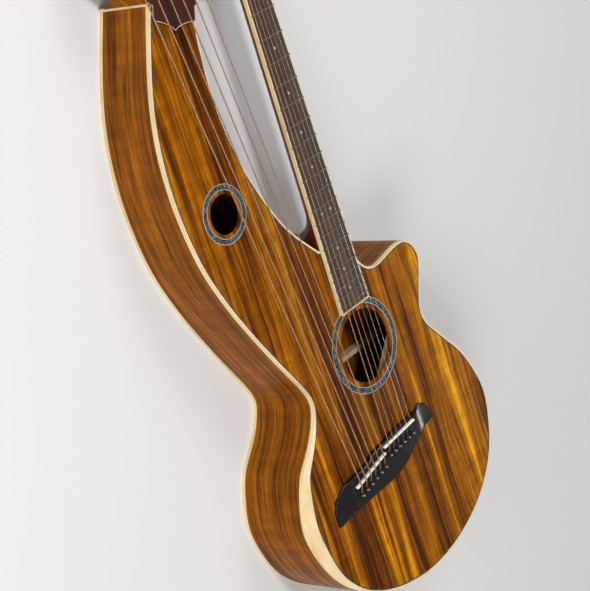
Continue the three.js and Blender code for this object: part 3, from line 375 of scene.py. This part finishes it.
woodGrain = {"broad": (0.05, 0.006, 0.05), "fine": (0.9, 0.03, 0.9)}
lineGrain = {"broad": (0.05, 0.05, 0.05), "fine": (0.8, 0.8, 0.8), "lines": 0.3}
looks = {
    "koaTop": koa("koaTop", koaTop, 0),
    "koaSide": koa("koaSide", koaSide, 2),
    "koaBack": koa("koaBack", koaBack, 0, True),
    "maple": plain("maple", (toned(204, 176, 130), toned(224, 204, 164)), {
        "broad": (0.03, 0.01, 0.05), "fine": (0.35, 0.05, 0.7), "lines": 0.35}, (0.34, 0.26), 0.1,
        **{"Specular IOR Level": 0.3}),
    "mapleInside": plain("mapleInside", (toned(206, 178, 140), toned(226, 202, 168)), woodGrain,
                         (0.6, 0.5), 0.3),
    "blackLine": plain("blackLine", (toned(26, 24, 24), toned(44, 42, 42)), lineGrain, (0.36, 0.28), 0.1),
    "whiteLine": plain("whiteLine", (toned(196, 186, 164), toned(214, 206, 186)), lineGrain,
                       (0.36, 0.28), 0.1),
    "shell": abaloneShell(),
    "pearl": plain("pearl", (toned(160, 162, 160), toned(206, 204, 198)), {
        "broad": (0.5, 0.5, 0.5), "fine": (1.2, 1.2, 1.2), "lines": 0.2}, (0.24, 0.16), 0.1),
    "spruce": plain("spruce", (toned(196, 150, 98), toned(222, 180, 126)), {
        "broad": (0.02, 0.02, 0.02), "fine": (0.06, 0.9, 0.9)}, (0.75, 0.6), 0.3),
    "mahogany": plain("mahogany", (toned(110, 62, 32), toned(138, 84, 48)), woodGrain, (0.75, 0.6), 0.3),
    "neckWood": plain("neckWood", (toned(74, 30, 12), toned(112, 50, 20)), woodGrain, (0.36, 0.26), 0.2,
                      **{"Specular IOR Level": 0.3}),
    "fingerboardEbony": plain("fingerboardEbony", (toned(48, 38, 31), toned(76, 62, 51)), {
        "broad": (0.12, 0.006, 0.12), "fine": (1.6, 0.05, 1.6), "lines": 0.8}, (0.42, 0.32), 0.4),
    "bridgeEbony": plain("bridgeEbony", (toned(14, 11, 10), toned(27, 22, 20)), {
        "broad": (0.02, 0.12, 0.12), "fine": (0.03, 1.5, 1.5), "lines": 0.8}, (0.34, 0.24), 0.3,
        **{"Specular IOR Level": 0.35}),
    "pinBlack": plain("pinBlack", (toned(14, 13, 13), toned(28, 26, 25)), {
        "broad": (0.2, 0.2, 0.2), "fine": (1.2, 1.2, 1.2), "lines": 0.2}, (0.22, 0.14), 0.05),
    "plateRosewood": plain("plateRosewood", (toned(38, 20, 15), toned(72, 36, 24)), woodGrain,
                           (0.36, 0.26), 0.3, **{"Specular IOR Level": 0.3}),
    "bone": plain("bone", (toned(228, 220, 202), toned(244, 240, 228)), {
        "broad": (0.08, 0.08, 0.08), "fine": (0.9, 0.9, 0.9), "lines": 0.15}, (0.36, 0.26), 0.1),
    "nickel": metal("nickel", toned(206, 204, 198), (0.3, 0.2), (0.6, 0.6, 3.0)),
    "fretWire": metal("fretWire", toned(150, 144, 134), (0.42, 0.32), (2.4, 0.3, 0.3)),
    "steelString": metal("steelString", toned(206, 204, 204), (0.34, 0.24), (1.2, 0.2, 1.2)),
    "woundString": woundString(),
}
print("materials are mixed:", len(looks))


# building helpers

weld = 0.004  # points nearer than this are one
wholeWithin = 0.5  # degrees by which the triangles of one flat face may differ


def cast(node, within=None):
    # a merged copy of a CAD node; triangles that differ by less than an angle become one face where asked
    bm = bmesh.new()
    bm.from_mesh(nodes[node].data)
    bmesh.ops.remove_doubles(bm, verts=bm.verts, dist=weld * mm)
    if within is not None:
        bmesh.ops.dissolve_limit(bm, angle_limit=math.radians(within), verts=bm.verts, edges=bm.edges)
    return bm


def squared(bm, bent=20, skewed=60):
    # pairs of triangles become the four-sided faces that they were drawn as
    bmesh.ops.join_triangles(bm, faces=bm.faces, angle_face_threshold=math.radians(bent),
                             angle_shape_threshold=math.radians(skewed))
    return bm


def holdEdges(bm, angle):
    # edges sharper than the angle stay sharp, and each runs through its points as a smooth curve; a corner
    # is where they meet or where one turns by more than the angle, and an edge between corners stays straight
    crease = bm.edges.layers.float.new("crease_edge")
    held = bm.verts.layers.float.new("crease_vert")
    limit = math.radians(angle)
    for edge in bm.edges:
        edge[crease] = 1 if len(edge.link_faces) == 2 and edge.calc_face_angle(0) > limit else 0
    shift, corners = {}, set()
    for vert in bm.verts:
        running = [e for e in vert.link_edges if e[crease] == 1]
        if len(running) > 2:
            corners.add(vert)
        if len(running) != 2:
            continue
        before, after = (e.other_vert(vert).co for e in running)
        arriving, leaving = vert.co - before, after - vert.co
        if arriving.angle(leaving) < limit:
            # smoothing pulls the point towards the chord by a third of its height over it
            shift[vert] = (arriving - arriving.project(after - before)) / 3
        else:
            corners.add(vert)
    for vert, step in shift.items():
        vert.co += step
    for vert in corners:
        vert[held] = 1
        for edge in vert.link_edges:
            if edge.other_vert(vert) in corners:
                edge[crease] = 1
    return bm


def settle(bm, name, look, body=instrument["body"], stands=(), smooth=30, levels=0, bevel=None,
           segments=2):
    # the mesh becomes a finished piece: shaded, dressed, and riding on its body in place of the nodes that it
    # stands for; smooth is the angle up to which it shades round, and bevel is in millimetres
    bmesh.ops.recalc_face_normals(bm, faces=bm.faces)
    mesh = bpy.data.meshes.new(name)
    bm.to_mesh(mesh)
    bm.free()
    piece = bpy.data.objects.new(name, mesh)
    scene.collection.objects.link(piece)
    for key in [look] if isinstance(look, str) else look:
        mesh.materials.append(looks[key])
    mesh.shade_smooth()
    if levels:
        surface = piece.modifiers.new("smooth", "SUBSURF")
        surface.levels = surface.render_levels = levels
        surface.use_limit_surface = False
        applied(piece)
    if bevel:
        edge = piece.modifiers.new("bevel", "BEVEL")
        edge.width, edge.segments = bevel * mm, segments
        edge.limit_method, edge.angle_limit = "ANGLE", math.radians(smooth)
        applied(piece)
    piece.data.set_sharp_from_angle(angle=math.radians(smooth))
    if bevel:
        flatten(piece)
    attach(piece, body)
    if stands:
        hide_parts(*stands)
    return piece


def flatten(piece, ratio=8):
    # a wide face shades flat: its edges to faces that are many times smaller turn sharp
    bm = bmesh.new()
    bm.from_mesh(piece.data)
    for edge in bm.edges:
        areas = sorted(face.calc_area() for face in edge.link_faces)
        if len(areas) == 2 and areas[1] > ratio * areas[0]:
            edge.smooth = False
    bm.to_mesh(piece.data)
    bm.free()


def applied(piece):
    # what the modifiers make becomes the piece's own mesh
    mesh = bpy.data.meshes.new_from_object(piece.evaluated_get(bpy.context.evaluated_depsgraph_get()))
    piece.modifiers.clear()
    old = piece.data
    piece.data = mesh
    bpy.data.meshes.remove(old)
    mesh.name = piece.name


def chains(edges):
    # the closed loops that a set of edges falls into
    left = set(edges)
    found = []
    while left:
        chain, waiting = [], [left.pop()]
        while waiting:
            edge = waiting.pop()
            chain.append(edge)
            for vert in edge.verts:
                for other in vert.link_edges:
                    if other in left:
                        left.remove(other)
                        waiting.append(other)
        found.append(chain)
    return found


def widthOf(chain):
    # how wide a chain of edges is in the drawing, from bass to treble
    across = [drawn(v).x for e in chain for v in e.verts]
    return max(across) - min(across)


def slab(loopMesh, low, high, holes=()):
    # a flat board inside a loop of edges, with round holes, from low to high in the drawing
    bm = loopMesh.copy()
    for vert in bm.verts:
        flat = drawn(vert)
        vert.co = place(flat.x, flat.y, high)
    for x, y, radius, steps in holes:
        middle = level @ Matrix.Translation((x * mm, y * mm, high * mm))
        bmesh.ops.create_circle(bm, segments=steps, radius=radius * mm, matrix=middle)
    bmesh.ops.triangle_fill(bm, edges=bm.edges, use_beauty=True)
    bmesh.ops.recalc_face_normals(bm, faces=bm.faces)
    thicken(bm, high - low)
    return bm


def ringed(bm, faces, width):
    # a ring of new faces inside the outer edge of a flat region, which shrinks by as much; an even offset
    # would throw spikes out of the sharp corners
    return bmesh.ops.inset_region(bm, faces=faces, thickness=width * mm, use_boundary=True,
                                  use_even_offset=False)["faces"]


def thicken(bm, depth):
    # every face of a flat mesh gets a depth below it in the drawing
    down = level.to_3x3() @ Vector((0, 0, -depth * mm))
    grown = bmesh.ops.extrude_face_region(bm, geom=bm.faces[:])
    bmesh.ops.translate(bm, vec=down, verts=[v for v in grown["geom"] if isinstance(v, bmesh.types.BMVert)])


def turned(profile, steps, where):
    # a round piece: a profile of (radius, height) points spun about the z axis of the frame "where"
    bm = bmesh.new()
    verts = [bm.verts.new((r * mm, 0, h * mm)) for r, h in profile]
    for a, b in zip(verts, verts[1:]):
        bm.edges.new((a, b))
    bmesh.ops.spin(bm, geom=bm.verts[:] + bm.edges[:], cent=(0, 0, 0), axis=(0, 0, 1), angle=2 * math.pi,
                   steps=steps, use_merge=True)
    bmesh.ops.remove_doubles(bm, verts=bm.verts, dist=weld * mm)
    bmesh.ops.recalc_face_normals(bm, faces=bm.faces)
    bmesh.ops.transform(bm, matrix=where, verts=bm.verts)
    return bm


def gather(meshes):
    # several meshes in one
    whole = bmesh.new()
    for bm in meshes:
        kept = bpy.data.meshes.new("part")
        bm.to_mesh(kept)
        bm.free()
        whole.from_mesh(kept)
        bpy.data.meshes.remove(kept)
    return whole


def board(yLow, yHigh, leftLow, rightLow, leftHigh, rightHigh, low, high):
    # a block drawn by its edges at both ends of its run along y
    bm = bmesh.new()
    bmesh.ops.create_cube(bm, size=1)
    for vert in bm.verts:
        far, right, upper = vert.co.y > 0, vert.co.x > 0, vert.co.z > 0
        side = (rightHigh if far else rightLow) if right else (leftHigh if far else leftLow)
        vert.co = place(side, yHigh if far else yLow, high if upper else low)
    return bm


# body shell: sides, back, bindings, and a top that fills the binding with three fine lines around it

shell = {"held": 28, "levels": 2, "topThickness": 2.8, "proud": 0.03, "inlay": 0.6,
         "lines": (("blackLine", 0.35), ("shell", 1.0), ("blackLine", 0.4)),
         "flatTop": 0.75, "fall": 0.12, "cornerAngle": 20, "longLoop": 200}
holes = {"main": (0, 135.15, 50), "arm": (-166.9, 402.9, 25.7), "steps": 128}
for node, name, look, slot in (("rim", "sides", "koaSide", "koa_side"),
                               ("back", "backPlate", "koaBack", "koa_back"),
                               ("top_binding", "topBinding", "maple", "maple_binding"),
                               ("back_binding", "backBinding", "maple", "maple_binding")):
    piece = settle(holdEdges(squared(cast(node)), shell["held"]), name, look, stands=[node],
                   levels=shell["levels"])
    if node == "top_binding":
        binding = piece

# the top fills the loop of edges where the binding's flat top face turns down on its inner side
inner = bmesh.new()
inner.from_mesh(binding.data)
up = level.to_3x3() @ Vector((0, 0, 1))
corners = []
for edge in inner.edges:
    heights = sorted(face.normal.dot(up) for face in edge.link_faces)
    falls = heights[1] > shell["flatTop"] and heights[0] < heights[1] - shell["fall"]
    if falls and edge.calc_face_angle(0) > math.radians(shell["cornerAngle"]):
        corners.append(edge)
loop = min((c for c in chains(corners) if len(c) > shell["longLoop"]), key=widthOf)
keep = set(loop)
bmesh.ops.delete(inner, geom=[e for e in inner.edges if e not in keep], context="EDGES")
bmesh.ops.delete(inner, geom=[v for v in inner.verts if not v.link_edges], context="VERTS")
print("the top's edge has", len(inner.edges), "steps")

top = slab(inner, -shell["topThickness"], 0, [
    holes["main"] + (holes["steps"],), holes["arm"] + (holes["steps"] // 2,)])
settle(top, "top", "koaTop", stands=["soundboard"])

purfling = inner.copy()
for vert in purfling.verts:
    flat = drawn(vert)
    vert.co = place(flat.x, flat.y, shell["proud"])
bmesh.ops.contextual_create(purfling, geom=purfling.edges[:])
bmesh.ops.recalc_face_normals(purfling, faces=purfling.faces)
middle = purfling.faces[:]
for index, (look, width) in enumerate(shell["lines"]):
    for face in ringed(purfling, middle, width):
        face.material_index = index
bmesh.ops.delete(purfling, geom=middle, context="FACES")
thicken(purfling, shell["inlay"])
settle(purfling, "purfling", [look for look, width in shell["lines"]])
print("body shell is built")

# rosettes: shell rings between fine lines, let into the top

rosette = {"main": (57.2, 66.0), "arm": (30.7, 38.3), "line": 0.55, "proud": 0.04, "depth": 1, "steps": 128}
for key, node in (("main", "soundhole_rosette"), ("arm", "arm_rosette")):
    x, y = holes[key][:2]
    innerEdge, outerEdge = rosette[key]
    line = rosette["line"]
    rings = [("Light", "whiteLine", innerEdge, innerEdge + line),
             ("Dark", "blackLine", innerEdge + line, innerEdge + 2 * line),
             ("Shell", "shell", innerEdge + 2 * line, outerEdge - 2 * line),
             ("RimDark", "blackLine", outerEdge - 2 * line, outerEdge - line),
             ("RimLight", "whiteLine", outerEdge - line, outerEdge)]
    where = level @ Matrix.Translation((x * mm, y * mm, 0))
    for part, look, first, last in rings:
        low, high = -rosette["depth"], rosette["proud"]
        section = [(first, low), (last, low), (last, high), (first, high), (first, low)]
        settle(turned(section, rosette["steps"], where), key + "Rosette" + part, look,
               stands=[node] if part == "Shell" else ())
print("rosettes are let in")

# fingerboard: bound ebony, frets and pearl dots

neckPlan = {"scale": 645, "frets": 20, "end": 193.15, "nutHalf": 22.25, "endHalf": 29.15, "low": 0.3,
            "high": 6.3, "binding": 1.9, "tailBinding": 2.2,
            "fretWidth": 2.2, "fretHeight": 1, "fretSunk": 0.2, "fretShort": 0.4, "crownSteps": 4,
            "longEdge": 5, "dots": (3, 5, 7, 9, 12, 15, 17, 19), "octave": 12, "pairHalf": 9,
            "dotRadius": 1.9, "dotDepth": 0.5, "dotProud": 0.03, "dotSteps": 24}


def fretPlace(fret):
    # how far a fret stands from the saddle
    return neckPlan["scale"] / 2 ** (fret / neckPlan["octave"])


def boardHalf(y):
    # half the fingerboard's width there
    lastFret = fretPlace(neckPlan["frets"])
    return neckPlan["endHalf"] + (neckPlan["nutHalf"] - neckPlan["endHalf"]) * (y - lastFret) / (
        neckPlan["scale"] - lastFret)


boardLow, boardHigh = neckPlan["low"], neckPlan["high"]
tail = neckPlan["end"] + neckPlan["tailBinding"]
inset = neckPlan["binding"]
end, head = boardHalf(tail), boardHalf(neckPlan["scale"])
last = boardHalf(neckPlan["end"])
ebony = board(tail, neckPlan["scale"], inset - end, end - inset, inset - head, head - inset,
              boardLow, boardHigh)
settle(ebony, "fingerboard", "fingerboardEbony", stands=["fretboard"])
strips = [board(tail, neckPlan["scale"], -end, inset - end, -head, inset - head, boardLow, boardHigh),
          board(tail, neckPlan["scale"], end - inset, end, head - inset, head, boardLow, boardHigh),
          board(neckPlan["end"], tail, -last, last, -end, end, boardLow, boardHigh)]
settle(gather(strips), "fingerboardBinding", "maple", bevel=0.25)
frets = []
for number in range(1, neckPlan["frets"] + 1):
    y = fretPlace(number)
    half = boardHalf(y) - neckPlan["fretShort"]
    wide = neckPlan["fretWidth"] / 2
    bar = board(y - wide, y + wide, -half, half, -half, half, boardHigh - neckPlan["fretSunk"],
                boardHigh + neckPlan["fretHeight"])
    rise = [e for e in bar.edges if all(drawn(v).z > boardHigh for v in e.verts)
            and e.calc_length() > neckPlan["longEdge"] * mm]
    bmesh.ops.bevel(bar, geom=rise, offset=neckPlan["fretHeight"] * mm, offset_type="OFFSET",
                    segments=neckPlan["crownSteps"], profile=0.5, affect="EDGES", material=-1,
                    clamp_overlap=True)
    frets.append(bar)
settle(gather(frets), "frets", "fretWire", smooth=40)
dots = []
radius, low, high = neckPlan["dotRadius"], -neckPlan["dotDepth"], neckPlan["dotProud"]
for fret in neckPlan["dots"]:
    y = (fretPlace(fret) + fretPlace(fret - 1)) / 2
    for x in (-neckPlan["pairHalf"], neckPlan["pairHalf"]) if fret == neckPlan["octave"] else (0,):
        dots.append(turned([(0, low), (radius, low), (radius, high), (0, high)], neckPlan["dotSteps"],
                           level @ Matrix.Translation((x * mm, y * mm, boardHigh * mm))))
settle(gather(dots), "positionDots", "pearl")
print("fingerboard is laid")

# neck, nuts, saddles and bridge

settle(cast("neck"), "neckWood", "neckWood", stands=["neck"], smooth=32)
for node, name in (("nut", "nutBone"), ("bass_nut", "bassNutBone"), ("main_saddle", "mainSaddleBone"),
                   ("bass_saddle", "bassSaddleBone")):
    settle(cast(node, wholeWithin), name, "bone", stands=[node], bevel=0.5, segments=3)
settle(cast("bridge", wholeWithin), "bridgeEbony", "bridgeEbony", stands=["bridge"], bevel=0.5)
print("bridge is carved")

# strings: round cords along the CAD cords' own lines

strings = {"count": 6, "plain": 2, "sides": 12, "solidSides": 5, "wholeWithin": 0.05}
pin = {"head": 3.4, "gap": 0.3, "rise": 9, "steps": 20, "places": [],
       "dome": [(0, 0), (3.55, 0), (3.5, 1.4), (3.1, 2.5), (2.2, 3.2), (1.1, 3.55), (0, 3.65)],
       "dot": [(0, 3.2), (0.95, 3.2), (0.95, 3.72), (0, 3.72)]}


def middleOf(verts):
    # the exact sum doesn't depend on the order of the points, so it is the same each run
    return Vector([math.fsum(vert.co[axis] for vert in verts) / len(verts) for axis in range(3)])


def cordLine(node):
    # the middles of a solid cord's rings of points, from its end at the bridge on, and its radius
    bm = cast(node, strings["wholeWithin"])
    ends = (f for f in bm.faces if len(f.verts) == strings["solidSides"])
    caps = sorted(ends, key=lambda f: f.calc_area())[:2]
    start = min(caps, key=lambda f: drawn(f.verts[0]).y)
    ring = set(start.verts)
    seen, centres = set(ring), []
    while ring:
        centres.append(middleOf(ring))
        ring = {e.other_vert(v) for v in ring for e in v.link_edges} - seen
        seen |= ring
    radius = max((v.co - centres[0]).length for v in start.verts)
    bm.free()
    return centres, radius


def cord(node, name, look):
    # a round string along that line, whose points know how far along it they are; its pin stands behind it
    centres, radius = cordLine(node)
    start = unlevel @ centres[0] / mm
    pin["places"].append((start.x, start.y - pin["head"] - pin["gap"] - radius / mm))
    line = bpy.data.curves.new(name, "CURVE")
    line.dimensions = "3D"
    spline = line.splines.new("POLY")
    spline.points.add(len(centres) - 1)
    for point, centre in zip(spline.points, centres):
        point.co = (*centre, 1)
    line.bevel_depth, line.bevel_resolution = radius, strings["sides"] // 4 - 1
    line.use_fill_caps = True
    rough = bpy.data.objects.new(name, line)
    scene.collection.objects.link(rough)
    mesh = bpy.data.meshes.new_from_object(rough.evaluated_get(bpy.context.evaluated_depsgraph_get()))
    bpy.data.objects.remove(rough)
    bm = bmesh.new()
    bm.from_mesh(mesh)
    bpy.data.meshes.remove(mesh)
    run = [0]
    for a, b in zip(centres, centres[1:]):
        run.append(run[-1] + (b - a).length / mm)
    along = bm.verts.layers.float.new("along")
    bm.verts.ensure_lookup_table()
    for vert in bm.verts:
        ring = min(vert.index // strings["sides"], len(run) - 1)
        vert[along] = run[ring]
    settle(bm, name, look, stands=[node], smooth=50)


for number in range(1, strings["count"] + 1):
    plainWire = number <= strings["plain"]
    cord(f"string_{number}", f"mainString{number}", "steelString" if plainWire else "woundString")
    cord(f"bass_string_{number}", f"bassString{number}", "woundString")
# each pin's black dome carries a pale pearl dot on its crown, which is also a painted highlight
for part, look, slot in (("dome", "pinBlack", "ebony"), ("dot", "pearl", "abalone")):
    heads = [turned(pin[part], pin["steps"], level @ Matrix.Translation((x * mm, y * mm, pin["rise"] * mm)))
             for x, y in pin["places"]]
    settle(gather(heads), "pin" + part.title() + "s", look, smooth=50)
print("strings are strung")

# tuners, and a bushing round each post on the face of its head

tuner = {"headStart": 650.6, "headAngle": -14, "armFace": 2.8, "wholeWithin": 1, "steps": 32,
         "bushing": [(3.55, -0.4), (5.4, -0.4), (5.4, 0.5), (4.9, 1.0), (3.55, 1.0), (3.55, -0.4)]}
headFace = level @ Matrix.Translation((0, tuner["headStart"] * mm, 0)) @ Matrix.Rotation(
    math.radians(tuner["headAngle"]), 4, "X")
armFace = level @ Matrix.Translation((0, 0, tuner["armFace"] * mm))
axes = {joint["child"]: Vector(joint["pos_m"]) for joint in frame["joints"]}
for key, family, face in (("", "main", headFace), ("bass_", "bass", armFace)):
    for number in range(1, strings["count"] + 1):
        for part in ("post", "knob"):
            # worm and wheel keep the solids' own faces, as they mesh with little play
            node = f"{key}tuner_{part}_{number}"
            settle(cast(node, tuner["wholeWithin"]), f"{family}{part.title()}{number}", "nickel",
                   body=f"{key}tuning_{part}_{number}", stands=[node], smooth=42)
        local = face.inverted() @ axes[f"{key}tuning_post_{number}"]
        bushing = turned(tuner["bushing"], tuner["steps"], face @ Matrix.Translation((local.x, local.y, 0)))
        settle(bushing, f"{family}Bushing{number}", "nickel")
    for side in ("treble", "bass"):
        node = f"{key}tuner_plate_{side}"
        settle(cast(node), f"{family}TunerPlate{side.title()}", "nickel", stands=[node])
print("tuners are fitted")

# the arm's head under its plate; its underside lies flat like the back, so it takes the back's wood

headLooks = {"wood": ("koaSide", "koaBack"), "underside": -0.3}
armHead = settle(cast("arm_head"), "armHead", headLooks["wood"], stands=["arm_head"], smooth=32)
for face in armHead.data.polygons:
    face.material_index = 1 if face.normal.dot(up) < headLooks["underside"] else 0
settle(cast("arm_head_plate", wholeWithin), "armHeadPlate", "plateRosewood",
       stands=["arm_head_plate"], bevel=0.4)

# trim at the arm's end: a maple band across the side, and a fine line along the plate's foot

armTrim = {"corner": (-176.0, 679.8), "flare": (-184.9, 693.5), "length": 4.2, "inside": 2.5, "proud": 0.35,
           "low": -87.2, "high": 0,
           "lineStart": 0.5, "lineWidth": 0.7, "lineTop": 2.84, "lineDepth": 0.4, "lineReach": 690}
corner = Vector(armTrim["corner"])
running = (Vector(armTrim["flare"]) - corner).normalized()
outward = Vector((-running.y, running.x))
band = bmesh.new()
bmesh.ops.create_cube(band, size=1)
for vert in band.verts:
    spot = corner + running * (armTrim["length"] if vert.co.y > 0 else 0)
    spot += outward * (armTrim["proud"] if vert.co.x > 0 else -armTrim["inside"])
    vert.co = place(spot.x, spot.y, armTrim["high"] if vert.co.z > 0 else armTrim["low"])
settle(band, "armEndBand", "maple", bevel=0.5)

foot = cast("arm_head_plate", wholeWithin)
highest = max(drawn(v).z for v in foot.verts)
below = [f for f in foot.faces if min(drawn(v).z for v in f.verts) < highest - armTrim["lineDepth"]]
bmesh.ops.delete(foot, geom=below, context="FACES")
for vert in foot.verts:
    flat = drawn(vert)
    vert.co = place(flat.x, flat.y, armTrim["lineTop"])
middle = foot.faces[:]
outer = ringed(foot, middle, armTrim["lineStart"])
stripe = ringed(foot, middle, armTrim["lineWidth"])
beyond = [f for f in stripe if (unlevel @ f.calc_center_median() / mm).y > armTrim["lineReach"]]
bmesh.ops.delete(foot, geom=[*middle, *outer, *beyond], context="FACES")
thicken(foot, armTrim["lineDepth"])
settle(foot, "armPlateLine", "maple")
print("arm's end is trimmed")

# the inner pieces stay as they are packed and only take their wood

carried = {"top_bracing": "spruce", "back_bracing": "mapleInside", "neck_block": "mahogany",
           "tail_block": "mahogany"}
for node, look in carried.items():
    data = nodes[node].data
    data.materials.clear()
    data.materials.append(looks[look])

# floor

bm = bmesh.new()
bmesh.ops.create_grid(bm, x_segments=1, y_segments=1, size=studio["floorHalf"])
floorMesh = bpy.data.meshes.new("floor")
bm.to_mesh(floorMesh)
bm.free()
floor = bpy.data.objects.new("floor", floorMesh)
scene.collection.objects.link(floor)
floorPaint = bpy.data.materials.new("floorPaint")
floorPaint.use_nodes = True
paint = floorPaint.node_tree.nodes["Principled BSDF"].inputs
paint["Base Color"].default_value = studio["floor"] + (1,)
paint["Roughness"].default_value = studio["floorRough"]
floorMesh.materials.append(floorPaint)
floor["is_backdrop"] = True

bpy.context.view_layer.update()
low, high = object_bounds()
